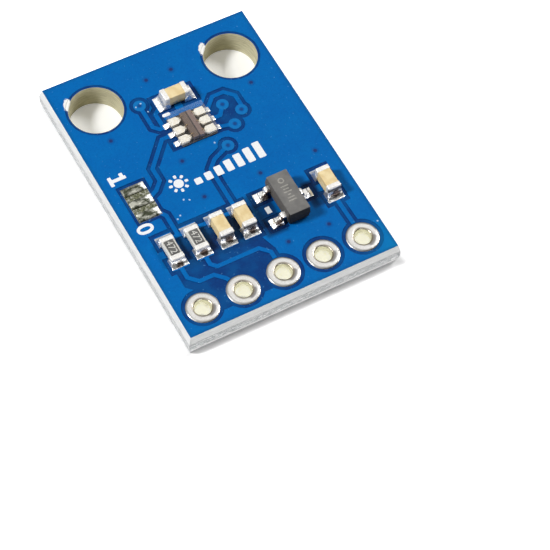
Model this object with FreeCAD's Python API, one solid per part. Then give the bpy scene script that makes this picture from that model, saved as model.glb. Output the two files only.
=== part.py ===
"""Light sensor module: a small blue circuit board with a clear light sensor, two mounting
holes and a row of five plated pin holes.

Millimetres, +Z up. The origin is at the middle of the underside, which is the face that the
board rests on. +X runs along the pin row and +Y towards the mounting holes.
"""
import FreeCAD
import Part
import math
import os

from FreeCAD import Rotation, Vector

os.makedirs("parts", exist_ok=True)

# Board blank, snapped out of a scored panel. Its width comes from the pin row.
board_length = 18.4
board_thickness = 1.56
score_depth = 0.5
score_overhang = 0.13

# Mounting holes
mount_hole_diameter = 3.2
mount_hole_side_gap = 2.185
mount_hole_end_gap = 2.59

# Pin row
pin_count = 5
pin_pitch = 2.54
pin_side_gap = 1.495
pin_end_gap = 1.42
pin_hole_diameter = 1.0
pin_ring_width = 0.475
plating_wall = 0.04
ring_thickness = 0.07
ring_crown = 0.26
ring_fall = 0.04
ring_gap = 0.2

# Relief that the etched copper gives the coated face
relief = 0.04
trace_width = 0.28
copper_gap = 0.2
edge_gap = 0.2
mount_copper_gap = 0.15
front_strip = 0.76
smallest_island = 0.4
via_pad_diameter = 0.76
land_sides = 16
gap_sides = 24

# Routes of the traces
bend = 0.5
jog = 0.3
land_lap = 0.2
pin_lane_gap = 1.56
row_lane_gap = 1.98
jumper_lane_gap = 0.9
loop_rise = 0.7

# Vias that end a trace, measured from the middle of the sensor
feed_via_shift = (-2.02, 2.65)
upper_via_shift = (2.32, 0.62)
outer_via_shift = (3.14, -0.18)
lower_via_shift = (2.32, -0.9)
rail_via_shift = (1.25, -2.05)

# Chip parts of one footprint: two resistors and four capacitors
chip_length = 1.6
chip_width = 0.82
chip_pad_margin = 0.115
chip_pad_toe = 0.42
chip_pad_heel = 0.35
chip_end_band = 0.3
chip_end_coat = 0.03
chip_bevel = 0.04
capacitor_height = 0.8
capacitor_climb = 0.5
resistor_height = 0.45
resistor_climb = 0.34
overcoat_thickness = 0.04
overcoat_end_gap = 0.02
overcoat_side_gap = 0.05
chip_row_end_gap = 5.36
resistor_places = (-4.94, -3.4)
capacitor_places = (-1.85, -0.4, 5.01)
sensor_capacitor_gap = 1.16

# Voltage regulator with three gull-wing leads
regulator_x = 2.4
regulator_length = 2.9
regulator_width = 1.36
regulator_height = 1.0
regulator_standoff = 0.06
regulator_set_in = 0.09
lead_pitch = 1.9
lead_width = 0.4
lead_thickness = 0.13
lead_out = 0.6
lead_height = 0.52
lead_foot = 0.3
lead_bend = 0.08
lead_root = 0.25
lead_pad_toe = 0.38
lead_pad_heel = 0.45
lead_pad_margin = 0.13
lead_climb = 0.24

# Light sensor: a chip and six contacts cast in clear resin
sensor_y = 3.1
sensor_width = 2.26
sensor_length = 2.1
sensor_height = 0.65
contact_width = 0.5
contact_end_gap = 0.13
contact_reach = 0.62
contact_thickness = 0.2
contact_corner = 0.12
bond_land = 0.22
die_side_gap = 0.04
die_end_gap = 0.12
die_thickness = 0.24
sensor_pad_width = 0.38
sensor_pad_toe = 0.42
sensor_pad_heel = 0.3
sensor_climb = 0.24

# Solder jumper of three lands
jumper_x = -4.95
jumper_row_gap = 3.68
jumper_pitch = 0.93
jumper_land_length = 1.4
jumper_land_width = 0.56
jumper_crown = 0.12
jumper_rim = 0.04

# Solder under every soldered foot
solder_film = 0.03

# Sizes that follow from the ones above
board_width = (pin_count - 1) * pin_pitch + 2 * pin_side_gap
land_z = board_thickness + relief
pin_ring_diameter = pin_hole_diameter + 2 * pin_ring_width
chip_pad_width = chip_width + 2 * chip_pad_margin
overcoat_length = chip_length - 2 * (chip_end_band + overcoat_end_gap)
overcoat_width = chip_width - 2 * overcoat_side_gap
lead_reach = regulator_width / 2 + lead_out
lead_pad_width = lead_width + 2 * lead_pad_margin
contact_pitch = (sensor_length - contact_width) / 2 - contact_end_gap
die_width = sensor_width - 2 * contact_reach - bond_land - 2 * die_side_gap
die_length = sensor_length - 2 * die_end_gap

# Places that several parts share
mount_x = board_width / 2 - mount_hole_side_gap
mount_y = board_length / 2 - mount_hole_end_gap
mount_places = [(-mount_x, mount_y), (mount_x, mount_y)]
pin_y = -board_length / 2 + pin_end_gap
pin_places = [((i - (pin_count - 1) / 2) * pin_pitch, pin_y) for i in range(pin_count)]
chip_y = -board_length / 2 + chip_row_end_gap
jumper_y = chip_y + jumper_row_gap
sensor_capacitor_y = sensor_y + sensor_length / 2 + sensor_capacitor_gap

# Each chip: its place and the turn of its length from +X
resistors = [(x, chip_y, 90) for x in resistor_places]
capacitors = [(0, sensor_capacitor_y, 0)] + [(x, chip_y, 90) for x in capacitor_places]

# Each regulator lead and sensor contact: its place and the turn of its outward direction
regulator_leads = [
    (regulator_x, chip_y + lead_pitch / 2, 180),
    (regulator_x, chip_y - lead_pitch / 2, 180),
    (regulator_x, chip_y, 0),
]
sensor_contacts = [
    (0, sensor_y + row * contact_pitch, turn) for turn in (180, 0) for row in (1, 0, -1)
]
jumper_lands = [(jumper_x, jumper_y + row * jumper_pitch, 0) for row in (1, 0, -1)]

via_shifts = (feed_via_shift, upper_via_shift, outer_via_shift, lower_via_shift, rail_via_shift)
vias = [(x, sensor_y + y) for x, y in via_shifts]


def save(shape, node):
    shape.exportStep(f"parts/{node}.step")


def turned(shape, place):
    x, y, angle = place
    spot = FreeCAD.Placement(Vector(x, y, 0), Rotation(Vector(0, 0, 1), angle))
    return shape.transformed(spot.toMatrix())


def lifted(shape, height):
    return shape.translated(Vector(0, 0, height))


def fused(shapes):
    return shapes[0].multiFuse(shapes[1:]).removeSplitter()


def box(x, y, z, length, width, height):
    """A block centred on x and y that stands on z."""
    return Part.makeBox(length, width, height, Vector(x - length / 2, y - width / 2, z))


def polygon(points):
    corners = [Vector(x, y, 0) for x, y in points]
    return Part.Face(Part.makePolygon(corners + corners[:1]))


def rectangle(x, y, length, width):
    return Part.makePlane(length, width, Vector(x - length / 2, y - width / 2, 0))


def disc(x, y, radius):
    return Part.Face(Part.Wire(Part.makeCircle(radius, Vector(x, y, 0))))


def round_land(x, y, radius, sides):
    """A disc drawn with short straight sides, whose middles lie on the radius."""
    turns = [math.tau * (i + 0.5) / sides for i in range(sides)]
    reach = radius / math.cos(math.pi / sides)
    return polygon([(x + reach * math.cos(turn), y + reach * math.sin(turn)) for turn in turns])


def heading(start, end):
    return Vector(end[0] - start[0], end[1] - start[1], 0).normalize()


def stroke(points, width):
    """A band of one width along a route, with mitred bends and square ends."""
    runs = [heading(start, end) for start, end in zip(points, points[1:])]
    left, right = [], []
    for point, before, after in zip(points, runs[:1] + runs, runs + runs[-1:]):
        across = Vector(-before.y - after.y, before.x + after.x, 0).normalize()
        reach = width / 2 / across.dot(Vector(-before.y, before.x, 0))
        left.append((point[0] + across.x * reach, point[1] + across.y * reach))
        right.append((point[0] - across.x * reach, point[1] - across.y * reach))
    return polygon(left + right[::-1])


def prism(region, low, high):
    faces = [lifted(face, low) for face in region.Faces]
    return Part.makeCompound([face.extrude(Vector(0, 0, high - low)) for face in faces])


def pad(place, inner, outer, width, grow):
    """A rectangular land that runs from inner to outer along its turned direction."""
    x = (inner + outer) / 2
    return turned(rectangle(x, 0, outer - inner + 2 * grow, width + 2 * grow), place)


def soldered_pads(grow):
    """Every land on the top that carries solder, grown on all sides."""
    chip_end = chip_length / 2
    chip_turns = [(x, y, turn + flip) for x, y, turn in resistors + capacitors for flip in (0, 180)]
    pads = [
        pad(place, chip_end - chip_pad_heel, chip_end + chip_pad_toe, chip_pad_width, grow)
        for place in chip_turns
    ]
    pads += [
        pad(place, lead_reach - lead_pad_heel, lead_reach + lead_pad_toe, lead_pad_width, grow)
        for place in regulator_leads
    ]
    sensor_side = sensor_width / 2
    pads += [
        pad(place, sensor_side - sensor_pad_heel, sensor_side + sensor_pad_toe,
            sensor_pad_width, grow)
        for place in sensor_contacts
    ]
    half_land = jumper_land_length / 2
    pads += [pad(place, -half_land, half_land, jumper_land_width, grow) for place in jumper_lands]
    return pads


def top_routes():
    """Centre lines of the traces on the component face."""
    feed_via, upper_via, outer_via, lower_via, rail_via = vias
    chip_end = chip_length / 2
    row_top = chip_y + chip_end
    row_low = chip_y - chip_end
    first, second = resistor_places
    third = capacitor_places[1]
    pin_2, pin_3, pin_5 = pin_places[1], pin_places[2], pin_places[-1]
    pin_lane = pin_y + pin_lane_gap
    row_lane = chip_y - row_lane_gap
    upper, middle, lower = [y for _, y, _ in sensor_contacts[:3]]
    sensor_land = sensor_width / 2 + sensor_pad_toe / 2
    feed_x = -sensor_land - trace_width / 2
    loop_x = outer_via[0] + trace_width / 2
    jumper_end = jumper_x + jumper_land_length / 2
    jumper_low = jumper_y - jumper_pitch
    low_x = jumper_end + trace_width / 2
    lane_x = jumper_end + jumper_lane_gap
    lane_y = jumper_y + jog + bend
    return [
        [(first, row_low), (first, pin_lane + bend), (first + bend, pin_lane),
         (pin_2[0] - 2 * bend, pin_lane), (pin_2[0] - bend, pin_lane - bend), pin_2],
        [(second, row_low), (second, row_lane + jog), (second + jog, row_lane),
         (pin_3[0] - bend, row_lane), (pin_3[0], row_lane - bend), pin_3],
        [(capacitor_places[2], row_low), pin_5],
        [(jumper_end - land_lap, jumper_low), (low_x, jumper_low - bend), (low_x, row_top)],
        [(first, row_top), (third, row_top)],
        [(jumper_end - land_lap, jumper_y), (lane_x - bend, jumper_y + jog), (lane_x, lane_y),
         (lane_x, lane_y + jumper_lane_gap), (-sensor_land - 2 * jog, middle),
         (-sensor_land, middle)],
        [(-sensor_land, upper), (feed_via[0] + jog, upper), (feed_via[0], upper + jog), feed_via],
        [(-chip_end, sensor_capacitor_y), (feed_x, sensor_capacitor_y - bend), (feed_x, upper)],
        [(sensor_land, upper), (sensor_land + loop_rise, upper + loop_rise),
         (loop_x - bend, upper + loop_rise), (loop_x, upper + loop_rise - bend),
         (loop_x, outer_via[1])],
        [(sensor_land, middle), (sensor_land + bend, middle), upper_via],
        [(sensor_land, lower), lower_via],
        [rail_via, (third + bend, rail_via[1] - bend), (third, rail_via[1] - 2 * bend),
         (third, row_top)],
    ]


def signals(grow):
    """Traces, lands and via pads of the top, grown on all sides."""
    faces = [stroke(route, trace_width + 2 * grow) for route in top_routes()]
    faces += [round_land(x, y, via_pad_diameter / 2 + grow, land_sides) for x, y in vias]
    return fused(faces + soldered_pads(grow))


def bare_zone():
    """The part of the top round the chip row and the first pins that has no copper pour."""
    left = resistor_places[0] - chip_width / 2
    right = capacitor_places[1] + chip_width / 2
    row_reach = chip_length / 2 + chip_pad_toe + copper_gap
    first_pin = pin_places[0][0]
    pin_side = pin_places[2][0] + trace_width / 2 + copper_gap
    pin_lane = pin_y + pin_lane_gap
    front = -board_length / 2 + front_strip
    return polygon([
        (left, chip_y + row_reach), (right, chip_y + row_reach), (right, chip_y - row_reach),
        (pin_side, pin_lane), (pin_side, front), (first_pin, front), (first_pin, pin_y),
        (left + bend, pin_lane - bend), (left, pin_lane),
    ])


def pour():
    """Copper that fills the top up to a gap round everything else."""
    mount_gap = mount_hole_diameter / 2 + mount_copper_gap
    pin_gap = pin_ring_diameter / 2 + ring_gap
    gaps = [round_land(x, y, mount_gap, gap_sides) for x, y in mount_places]
    gaps += [round_land(x, y, pin_gap, gap_sides) for x, y in pin_places]
    filled = rectangle(0, 0, board_width - 2 * edge_gap, board_length - 2 * edge_gap)
    filled = filled.cut(gaps + [signals(copper_gap), bare_zone()])
    return [face for face in filled.Faces if face.Area > smallest_island]


def printed_board():
    """Coated glass laminate: scored edges, copper relief, mounting and pin holes."""
    heights = (0, score_depth, board_thickness - score_depth, board_thickness)
    wires = []
    for height, overhang in zip(heights, (0, score_overhang, score_overhang, 0)):
        outline = rectangle(0, 0, board_width + 2 * overhang, board_length + 2 * overhang)
        wires.append(lifted(outline, height).OuterWire)
    blank = Part.makeLoft(wires, True, True)
    copper = fused([signals(0)] + pour())
    rings = [disc(x, y, pin_ring_diameter / 2) for x, y in pin_places]
    raised = prism(copper.cut(rings), board_thickness, land_z)
    drills = [drill(x, y, mount_hole_diameter / 2, 0, land_z) for x, y in mount_places]
    barrel = pin_hole_diameter / 2 + plating_wall
    drills += [drill(x, y, barrel, 0, land_z) for x, y in pin_places]
    drills += [drill(x, y, pin_ring_diameter / 2, 0, ring_thickness) for x, y in pin_places]
    return blank.fuse(raised.Solids).cut(drills)


def drill(x, y, radius, low, high):
    return Part.makeCylinder(radius, high - low, Vector(x, y, low))


def plated_hole():
    """Tinned barrel with a ring at each face of the board, about the Z axis. The upper ring is
    crowned with tin, and the lower one lies flush with the underside."""
    bore = pin_hole_diameter / 2
    barrel = bore + plating_wall
    rim = pin_ring_diameter / 2
    top = board_thickness + ring_thickness
    path = [(bore, 0), (rim, 0), (rim, ring_thickness), (barrel, ring_thickness),
            (barrel, board_thickness), (rim, board_thickness), (rim - ring_crown, top),
            (bore, top - ring_fall), (bore, 0)]
    profile = Part.Face(Part.makePolygon([Vector(x, 0, z) for x, z in path]))
    return profile.revolve(Vector(), Vector(0, 0, 1), 360).Solids[0]


def upright(points, arcs, low, high):
    """A block cut along Y from a profile in X and Z, where some corners start a hollow arc."""
    edges = []
    for i, start in enumerate(points):
        end = points[(i + 1) % len(points)]
        ends = [Vector(start[0], low, start[1]), Vector(end[0], low, end[1])]
        if i in arcs:
            hollow = Vector(arcs[i][0], low, arcs[i][1])
            edges.append(Part.Arc(ends[0], hollow, ends[1]).toShape())
        else:
            edges.append(Part.makeLine(*ends))
    return Part.Face(Part.Wire(edges)).extrude(Vector(0, high - low, 0))


def hollow(toe, climb):
    """The middle of an arc from the toe to the climb that leaves the land level or meets the
    end face upright, whichever keeps it hollow."""
    radius = (toe ** 2 + climb ** 2) / (2 * min(toe, climb))
    centre = Vector(toe, radius, 0) if climb < toe else Vector(radius, climb, 0)
    chord = Vector(toe / 2, climb / 2, 0)
    middle = centre + (chord - centre).normalize() * radius
    return middle.x, middle.y


def solder_joint(heel, toe, width, part_width, climb, back_climb):
    """Solder on one land, with a hollow face that climbs an end face at X 0, before the part
    that it holds is cut out of it."""
    length = upright([(-heel, 0), (toe, 0), (0, climb), (-heel, back_climb)],
                     {1: hollow(toe, climb)}, -width / 2, width / 2)
    across = upright([(-width / 2, 0), (width / 2, 0), (part_width / 2, climb),
                      (part_width / 2, 2 * climb), (-part_width / 2, 2 * climb),
                      (-part_width / 2, climb)], {}, -toe, heel)
    across.rotate(Vector(), Vector(0, 0, 1), 90)
    return length.common(across)


def chip_block(height):
    """Outer form of a chip part, length along X, on its film of solder."""
    block = box(0, 0, solder_film, chip_length, chip_width, height)
    return block.makeChamfer(chip_bevel, block.Edges)


def chip_core(height):
    """Ceramic block inside the end caps of a chip part."""
    coat = 2 * chip_end_coat
    core = box(0, 0, solder_film + chip_end_coat, chip_length - coat, chip_width - coat,
               height - coat)
    along = [edge for edge in core.Edges if edge.BoundBox.XLength > chip_end_band]
    return core.makeChamfer(chip_bevel / 2, along)


def chip_ends(height, core):
    """Two tinned caps that wrap the ends of a chip part."""
    reach = (chip_length - chip_end_band) / 2
    slabs = [box(side * reach, 0, 0, chip_end_band, chip_width, 2 * height) for side in (-1, 1)]
    return Part.makeCompound([chip_block(height).common(slab).cut(core) for slab in slabs])


def chip_solder(height, climb):
    """Solder at the two ends of a chip part."""
    joint = solder_joint(chip_pad_heel, chip_pad_toe, chip_pad_width, chip_width, climb,
                         climb / 2)
    joint.translate(Vector(chip_length / 2, 0, 0))
    joint = joint.cut(box(0, 0, solder_film, chip_length, chip_width, height))
    return Part.makeCompound([turned(joint, (0, 0, turn)) for turn in (0, 180)])


def overcoat():
    """Dark glaze on the top of a resistor, between its end caps."""
    low = solder_film + resistor_height - chip_end_coat
    glaze = box(0, 0, low, overcoat_length, overcoat_width, overcoat_thickness)
    rim = [edge for edge in glaze.Edges if edge.BoundBox.ZMin > low]
    return glaze.makeChamfer(overcoat_thickness / 2, rim)


def rounded_path(points, radius):
    """A wire through points in X and Z with a tangent arc at each bend."""
    corners = [Vector(x, 0, z) for x, z in points]
    edges = []
    start = corners[0]
    for before, corner, after in zip(corners, corners[1:], corners[2:]):
        back = (before - corner).normalize()
        on = (after - corner).normalize()
        half = back.getAngle(on) / 2
        setback = radius / math.tan(half)
        middle = (back + on).normalize() * (radius / math.sin(half) - radius)
        arc = Part.Arc(corner + back * setback, corner + middle, corner + on * setback)
        edges += [Part.makeLine(start, corner + back * setback), arc.toShape()]
        start = corner + on * setback
    return Part.Wire(edges + [Part.makeLine(start, corners[-1])])


def regulator_lead():
    """Gull-wing lead that leaves the body along +X and stands on its film of solder."""
    foot_z = solder_film + lead_thickness / 2
    knee = lead_reach - lead_foot - lead_thickness / 2
    path = rounded_path([(regulator_width / 2 - lead_root, lead_height), (knee, lead_height),
                         (lead_reach - lead_foot, foot_z), (lead_reach, foot_z)],
                        lead_bend + lead_thickness / 2)
    section = Part.makePlane(lead_thickness, lead_width)
    section.translate(Vector(-lead_thickness / 2, -lead_width / 2, 0))
    section.rotate(Vector(), Vector(0, 1, 0), 90)
    section.translate(Vector(regulator_width / 2 - lead_root, 0, lead_height))
    return path.makePipeShell([section.OuterWire], True, False)


def regulator_body(leads):
    """Moulded body that draws in above and below the leads."""
    wires = []
    levels = ((regulator_standoff, regulator_set_in), (lead_height, 0),
              (regulator_standoff + regulator_height, regulator_set_in))
    for height, set_in in levels:
        outline = rectangle(0, 0, regulator_width - set_in, regulator_length - set_in)
        wires.append(lifted(outline, height).OuterWire)
    body = Part.makeLoft(wires, True, True)
    return turned(body, (regulator_x, chip_y, 0)).cut(leads)


def contact():
    """Sensor contact with a small bond land on its inner end, outward along +X."""
    outer = sensor_width / 2
    inner = outer - contact_reach
    blade = box((outer + inner) / 2, 0, solder_film, contact_reach, contact_width,
                contact_thickness)
    corners = [edge for edge in blade.Edges
               if edge.BoundBox.XMax < (inner + outer) / 2 and edge.BoundBox.ZLength > solder_film]
    blade = blade.makeChamfer(contact_corner, corners)
    land = box(inner, 0, solder_film, bond_land, bond_land, contact_thickness)
    return blade.fuse(land).removeSplitter().Solids[0]


def sensor_parts():
    """Clear package, die and contacts of the light sensor."""
    contacts = [turned(contact(), place) for place in sensor_contacts]
    die = box(0, sensor_y, solder_film + contact_thickness / 2, die_width, die_length,
              die_thickness)
    block = box(0, sensor_y, solder_film, sensor_width, sensor_length, sensor_height)
    rim = [edge for edge in block.Edges if edge.BoundBox.ZMin > sensor_height / 2]
    package = block.makeChamfer(chip_bevel, rim).cut(contacts + [die])
    return package, die, Part.makeCompound(contacts), block


def sensor_solder(block):
    """Solder from each sensor contact out over its land."""
    joint = solder_joint(sensor_pad_heel, sensor_pad_toe, sensor_pad_width,
                         sensor_pad_width / 2, sensor_climb, 2 * solder_film)
    joint.translate(Vector(sensor_width / 2, 0, 0))
    return Part.makeCompound([turned(joint, place).cut(block) for place in sensor_contacts])


def regulator_solder(lead):
    """Solder round the foot of each regulator lead."""
    joint = solder_joint(lead_pad_heel, lead_pad_toe, lead_pad_width, lead_width, lead_climb,
                         lead_climb)
    joint.translate(Vector(lead_reach, 0, 0))
    joint = joint.cut(lead)
    return Part.makeCompound([turned(joint, place) for place in regulator_leads])


def jumper_solder():
    """Low cushion of solder on a jumper land, crowned both ways."""
    def crowned(length, width):
        half = length / 2
        points = [(-half, 0), (half, 0), (half, jumper_rim), (-half, jumper_rim)]
        return upright(points, {2: (0, jumper_crown)}, -width / 2, width / 2)

    along = crowned(jumper_land_length, jumper_land_width)
    across = crowned(jumper_land_width, jumper_land_length)
    across.rotate(Vector(), Vector(0, 0, 1), 90)
    return along.common(across)


def save_board():
    save(printed_board(), "printed_board")
    for number, (x, y) in enumerate(pin_places, 1):
        save(plated_hole().translated(Vector(x, y, 0)), f"plated_hole_{number}")


def save_chips():
    kinds = (("resistor", "substrate", resistors, resistor_height, resistor_climb),
             ("capacitor", "body", capacitors, capacitor_height, capacitor_climb))
    for kind, core_name, places, height, climb in kinds:
        core = lifted(chip_core(height), land_z)
        ends = lifted(chip_ends(height, chip_core(height)), land_z)
        solder = lifted(chip_solder(height, climb), land_z)
        for number, place in enumerate(places, 1):
            save(turned(core, place), f"{kind}_{number}_{core_name}")
            save(turned(ends, place), f"{kind}_{number}_ends")
            save(turned(solder, place), f"{kind}_{number}_solder")
    for number, place in enumerate(resistors, 1):
        save(turned(lifted(overcoat(), land_z), place), f"resistor_{number}_overcoat")


def save_regulator():
    lead = regulator_lead()
    leads = [turned(lead, place) for place in regulator_leads]
    save(lifted(regulator_body(leads), land_z), "regulator_body")
    save(lifted(regulator_solder(lead), land_z), "regulator_solder")
    for number, placed in enumerate(leads, 1):
        save(lifted(placed, land_z), f"regulator_lead_{number}")


def save_sensor():
    package, die, contacts, block = sensor_parts()
    save(lifted(package, land_z), "sensor_package")
    save(lifted(die, land_z), "sensor_die")
    save(lifted(contacts, land_z), "sensor_contacts")
    save(lifted(sensor_solder(block), land_z), "sensor_solder")


def save_jumper():
    solder = lifted(jumper_solder(), land_z)
    for number, place in enumerate(jumper_lands, 1):
        save(turned(solder, place), f"jumper_solder_{number}")


save_board()
save_chips()
save_regulator()
save_sensor()
save_jumper()
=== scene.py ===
"""Dresses the light sensor module: coating, solder, plating, print and the studio round it."""

import math

import bpy
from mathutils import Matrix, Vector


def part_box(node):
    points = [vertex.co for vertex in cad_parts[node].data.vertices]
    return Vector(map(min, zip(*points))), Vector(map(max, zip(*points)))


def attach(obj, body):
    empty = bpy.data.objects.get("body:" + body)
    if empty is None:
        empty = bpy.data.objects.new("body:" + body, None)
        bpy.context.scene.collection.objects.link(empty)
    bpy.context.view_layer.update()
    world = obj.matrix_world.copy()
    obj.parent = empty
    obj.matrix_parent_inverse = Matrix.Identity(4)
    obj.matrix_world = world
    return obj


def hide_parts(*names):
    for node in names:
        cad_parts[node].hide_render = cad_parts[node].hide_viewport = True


bl_info = {
    "name": "Light sensor module",
    "version": (1, 0, 0),
    "blender": (4, 5, 0),
    "location": "3D View > Sidebar > Light sensor",
    "description": "Dresses a small circuit board with coating, solder, print and light",
    "category": "Object",
}

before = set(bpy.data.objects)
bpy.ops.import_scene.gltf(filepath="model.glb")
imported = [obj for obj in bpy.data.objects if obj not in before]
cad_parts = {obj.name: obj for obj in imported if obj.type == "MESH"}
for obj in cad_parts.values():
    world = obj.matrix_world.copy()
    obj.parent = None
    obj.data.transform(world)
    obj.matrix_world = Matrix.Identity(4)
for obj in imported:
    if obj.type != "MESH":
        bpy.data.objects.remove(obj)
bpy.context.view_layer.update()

# Pieces are shaped with a millimetre as the unit, because bevels and welds lose smaller edges,
# and each is shrunk to metres when it is done.
MM = 0.001

# The board, from the middle of its underside.
FACE = 1.6
BOARD_HALF = (6.575, 9.2)
EDGE_GAP = 0.2
MOUNT_HOLES = ((-4.39, 6.61), (4.39, 6.61))
MOUNT_RADIUS = 1.6
PIN_HOLES = tuple((2.54 * (i - 2), -7.78) for i in range(5))
TRACE_VIAS = ((-2.02, 5.75), (2.32, 3.72), (3.14, 2.92), (2.32, 2.2), (1.25, 1.05))
POUR_VIAS = (
    (-0.85, 7.2), (0.8, 7.25), (-4.6, 4.3), (4.55, 4.35), (-1.6, 1.25), (-1.6, -1.45),
    (2.0, -1.45), (5.55, -1.5), (1.2, -6.2), (3.8, -6.2),
)
# Pale flecks on the coating; the fleck on the top left via is a painted glint.
SPECKS_AND_GLINTS = (
    (-2.45, -1.25), (-2.75, -1.1), (-3.4, -1.95), (-3.65, -2.1), (6.35, -7.25), (0.65, 1.55),
    (-1.9, 5.85), (-2.25, 5.75), (-1.75, 5.2),
)

# Areas of the face, each as an X and a Y span: the middle, the half that the mask fills, and the
# half beyond which it is nothing. The first three get painted shade; the last is the jumper's bare
# window.
CHIP_ROW_SHADE = ((0.2, 4.4, 5.2), (-3.8, 1.1, 1.7))
LEFT_FEET_SHADE = ((0.95, 0.55, 0.8), (-4.0, 1.35, 1.65))
RIGHT_FOOT_SHADE = ((4.0, 0.3, 0.55), (-4.05, 0.75, 1.05))
JUMPER_WINDOW = ((-4.95, 0.7, 0.74), (-0.16, 1.2, 1.24))

# The torn middle of the scored edges, as such a span in Z, and the corner toward which painted
# sheen makes the coating palest.
TORN_RIB = (0.78, 0.26, 0.34)
PALE_CORNER_SHEEN = (7.6, -9.6, 0)

# Pale marks at the rims of the mounting holes, which lean along Y and are narrow in X.
RIM_MARKS = ((-5.7, 7.66), (3.14, 7.76))
RIM_MARK_LEAN = 0.3
RIM_MARK_SQUEEZE = 1.6

# Painted dark reflections and shade in the hollows of the solder joints, which are wide in X, and
# painted highlights on the ears beside them.
JOINT_HOLLOW_SHADE = ((-4.98, -4.86), (-3.36, -4.79), (-1.76, -4.73), (-0.3, -4.73), (5.08, -4.73),
                 (1.45, -3.1), (1.25, -5.0))
HOLLOW_SHADE_SQUEEZE = 0.5
JOINT_EAR_HIGHLIGHTS = (
    (-5.34, -4.97), (-4.52, -4.93), (-3.8, -4.99), (-2.98, -4.88), (-2.24, -4.88), (-1.4, -4.89),
    (-0.8, -4.9), (0.03, -4.89), (4.6, -4.98), (5.42, -4.95),
)

# The regulator's faint marks: a ring, then bars across it, each as its Y and half its length.
MARK_RING = (2.38, -3.02)
MARK_BARS = ((-3.42, 0.24), (-3.62, 0.16), (-3.82, 0.24), (-4.02, 0.08), (-4.22, 0.2),
             (-4.42, 0.24))

# The painted shade on each ring's shaded side leans this way from the middle of the hole.
RING_SHADE_SHIFT = (0.36, -0.4)

# The turned ring and barrel of a pin hole, as radii and heights.
RING_PROFILE = (
    (0.975, 1.562), (0.955, 1.585), (0.92, 1.603), (0.86, 1.618), (0.79, 1.627),
    (0.715, 1.63), (0.64, 1.627), (0.575, 1.617), (0.53, 1.6), (0.508, 1.578),
    (0.5, 1.55), (0.5, 0.03), (0.506, 0.01), (0.52, 0.0), (0.955, 0.0), (0.97, 0.012),
    (0.975, 0.04), (0.975, 0.07), (0.54, 0.07), (0.54, 1.56), (0.97, 1.56),
    (0.975, 1.562),
)

# Bond wires in the sensor: the Y shifts of the three rows, and the ends of a wire with the pull
# of its handles.
SENSOR_MIDDLE = (0, 3.1, 0)
BOND_ROWS = (-0.67, 0.0, 0.67)
WIRE_ENDS = (((0.46, 3.1, 1.8), 0.3), ((0.28, 3.1, 1.972), -0.16))

# Print
SUN_MIDDLE = (-2.5, -0.02)
BAR_START = -1.4
BAR_PITCH = 0.68
BAR_FOOT = -0.57
BAR_HEIGHT = 0.42
BAR_RISE = 0.118
GLAZE_TOP = 2.088
RESISTOR_PLACES = ((-4.94, -3.84), (-3.4, -3.84))

# Camera, in metres, degrees and millimetres of lens
CAMERA_PLACE = (-0.038148, -0.062351, 0.110435)
CAMERA_TURN = (31.17512, -3.43798, -28.90164)
CAMERA_LENS = 150.754


def tint(red, green, blue):
    """A colour as a screen shows it, from 0 to 255, as the scene's own linear values."""
    return tuple(
        c / 255 / 12.92 if c < 11 else ((c / 255 + 0.055) / 1.055) ** 2.4
        for c in (red, green, blue)
    )


# ---------------------------------------------------------------- materials


class Value:
    """One socket's value, on which sums can be written as Python."""

    def __init__(self, recipe, socket):
        self.recipe = recipe
        self.socket = socket

    def maths(self, operation, *terms):
        inputs = dict(enumerate(terms))
        return self.recipe.node("ShaderNodeMath", {"operation": operation}, inputs)

    def __add__(self, other):
        return self.maths("ADD", self, other)

    __radd__ = __add__

    def __sub__(self, other):
        return self.maths("SUBTRACT", self, other)

    def __rsub__(self, other):
        return self.maths("SUBTRACT", other, self)

    def __mul__(self, other):
        return self.maths("MULTIPLY", self, other)

    __rmul__ = __mul__

    def size(self):
        return self.maths("ABSOLUTE", self)

    def least(self, other):
        return self.maths("MINIMUM", self, other)

    def most(self, other):
        return self.maths("MAXIMUM", self, other)

    def step(self, start, end, low=0.0, high=1.0):
        """A smooth ramp from low at start to high at end."""
        if start > end:
            start, end, low, high = end, start, high, low
        return self.recipe.node(
            "ShaderNodeMapRange", {"interpolation_type": "SMOOTHSTEP"},
            {"Value": self, "From Min": start, "From Max": end, "To Min": low, "To Max": high},
        )

    def near(self, middle, full, none):
        """1 where the value is within full of the middle, and 0 beyond none."""
        return (self - middle).size().step(none, full)


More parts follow.
